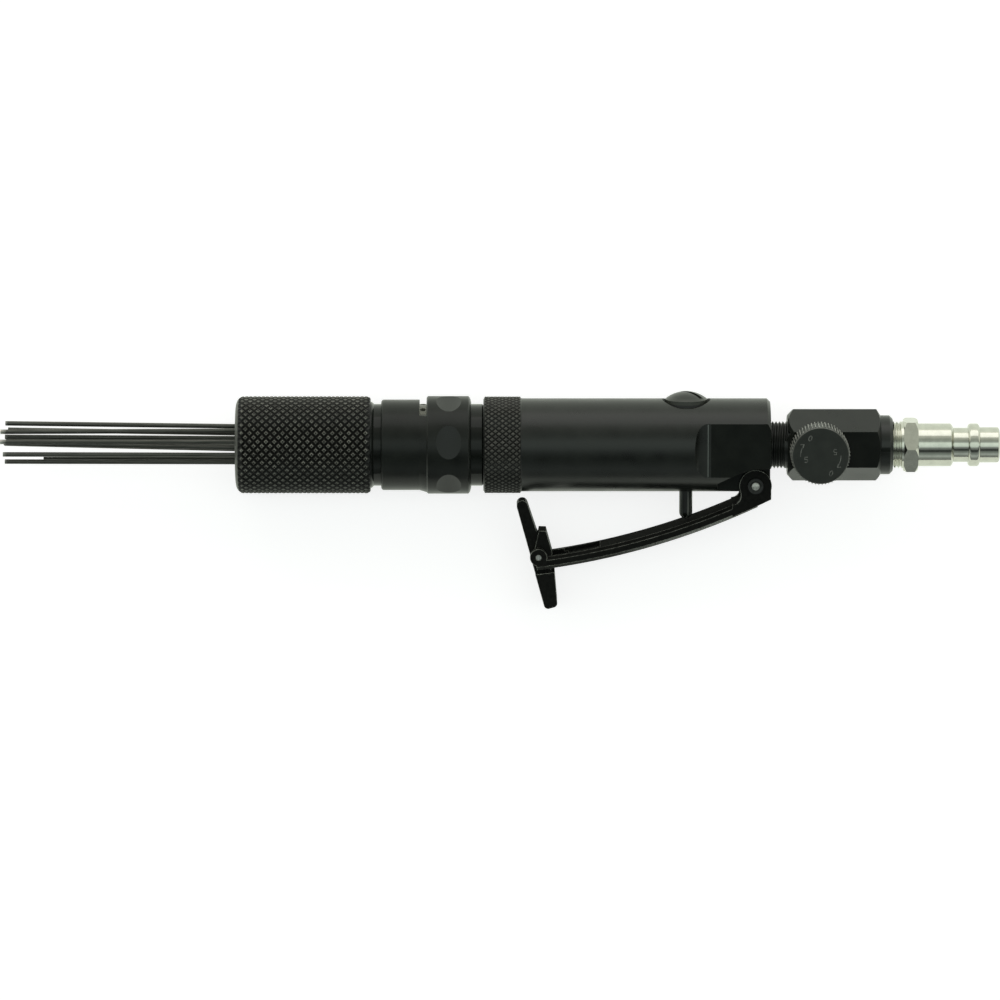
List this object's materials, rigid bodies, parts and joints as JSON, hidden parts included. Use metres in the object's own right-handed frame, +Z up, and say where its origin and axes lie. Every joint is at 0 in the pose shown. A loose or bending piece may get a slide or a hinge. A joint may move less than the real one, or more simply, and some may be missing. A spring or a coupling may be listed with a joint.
{
  "type": "needle scaler",
  "caption": "Hand held pneumatic needle scaler on its side: round grip, knurled nose sleeve, needle bundle, curved throttle lever with folding safety latch, air regulator and push-in plug.",
  "frame": {"origin": "centre of the bounding box at its bottom, on the bench that the tool lies on", "axes": "+X along the tool from the needles to the air plug, -Y towards the lever, +Z up, towards the regulator knob; the tool is rolled 9.8 degrees about X so that the latch's thumb piece touches the bench"},
  "size_m": [0.2787, 0.0609, 0.0337],
  "materials": {
    "black_oxide": "satin black oxide on turned steel",
    "cast_black": "rough cast, black, worn at the edges",
    "steel": "bright turned steel",
    "needle_steel": "blackened steel wire",
    "spring_steel": "oiled spring wire",
    "bronze": "turned bronze",
    "rubber": "black nitrile",
    "plated": "bright plating"
  },
  "bodies": {
    "grip": {"nose_sleeve": "black_oxide", "needle_guide": "steel", "return_spring": "spring_steel", "barrel": "black_oxide", "front_collar": "black_oxide", "barrel_seal": "rubber", "valve_seat": "steel", "valve_case": "steel", "housing": "black_oxide", "cap_screw": "black_oxide", "cap_seal": "rubber", "throttle_spring": "spring_steel", "pin_bush": "bronze", "lever_pin": "steel", "inlet_body": "black_oxide", "regulator_pin": "steel", "hose_nipple": "plated"},
    "lever": {"throttle_lever": "cast_black", "latch_pin": "steel", "latch_spring": "spring_steel"},
    "latch": {"safety_latch": "cast_black"},
    "throttle": {"throttle_pin": "black_oxide", "throttle_valve": "bronze"},
    "regulator": {"regulator_stem": "steel", "regulator_knob": "black_oxide", "regulator_seals": "rubber"},
    "hammer": {"piston": "steel"},
    "needle_pack": {"needles": "needle_steel", "needle_holder": "steel", "anvil": "steel"},
    "flutter_valve": {"valve_disc": "spring_steel"}
  },
  "joints": [
    {"name": "lever_press", "type": "hinge", "parent": "grip", "child": "lever", "pos_m": [0.07125, 0.005, 0.01184], "axis": [0, 0.17, -0.9854], "range_deg": [0, 5.2], "stiffness_Nm_per_rad": 0.8, "springref_deg": -8.59},
    {"name": "latch_fold", "type": "hinge", "parent": "lever", "child": "latch", "pos_m": [0.01077, -0.01495, 0.0084], "axis": [0, 0.17, -0.9854], "range_deg": [0, 94]},
    {"name": "throttle_slide", "type": "slide", "parent": "grip", "child": "throttle", "axis": [0, 0.9854, 0.17], "range_m": [0, 0.002], "deforming": ["throttle_spring"]},
    {"name": "regulator_turn", "type": "hinge", "parent": "grip", "child": "regulator", "pos_m": [0.08875, 0.0155, 0.01365], "axis": [0, -0.17, 0.9854], "continuous": true},
    {"name": "hammer_stroke", "type": "slide", "parent": "grip", "child": "hammer", "axis": [1, 0, 0], "range_m": [0, 0.024]},
    {"name": "needle_stroke", "type": "slide", "parent": "grip", "child": "needle_pack", "axis": [-1, 0, 0], "range_m": [0, 0.004], "stiffness_N_per_m": 3000, "springref_m": -0.002, "deforming": ["return_spring"]},
    {"name": "valve_flutter", "type": "slide", "parent": "grip", "child": "flutter_valve", "axis": [-1, 0, 0], "range_m": [0, 0.0007]}
  ],
  "couplings": [
    {"joint": "latch_fold", "follows": "lever_press", "ratio": 18},
    {"joint": "throttle_slide", "follows": "lever_press", "m_per_rad": 0.022}
  ]
}
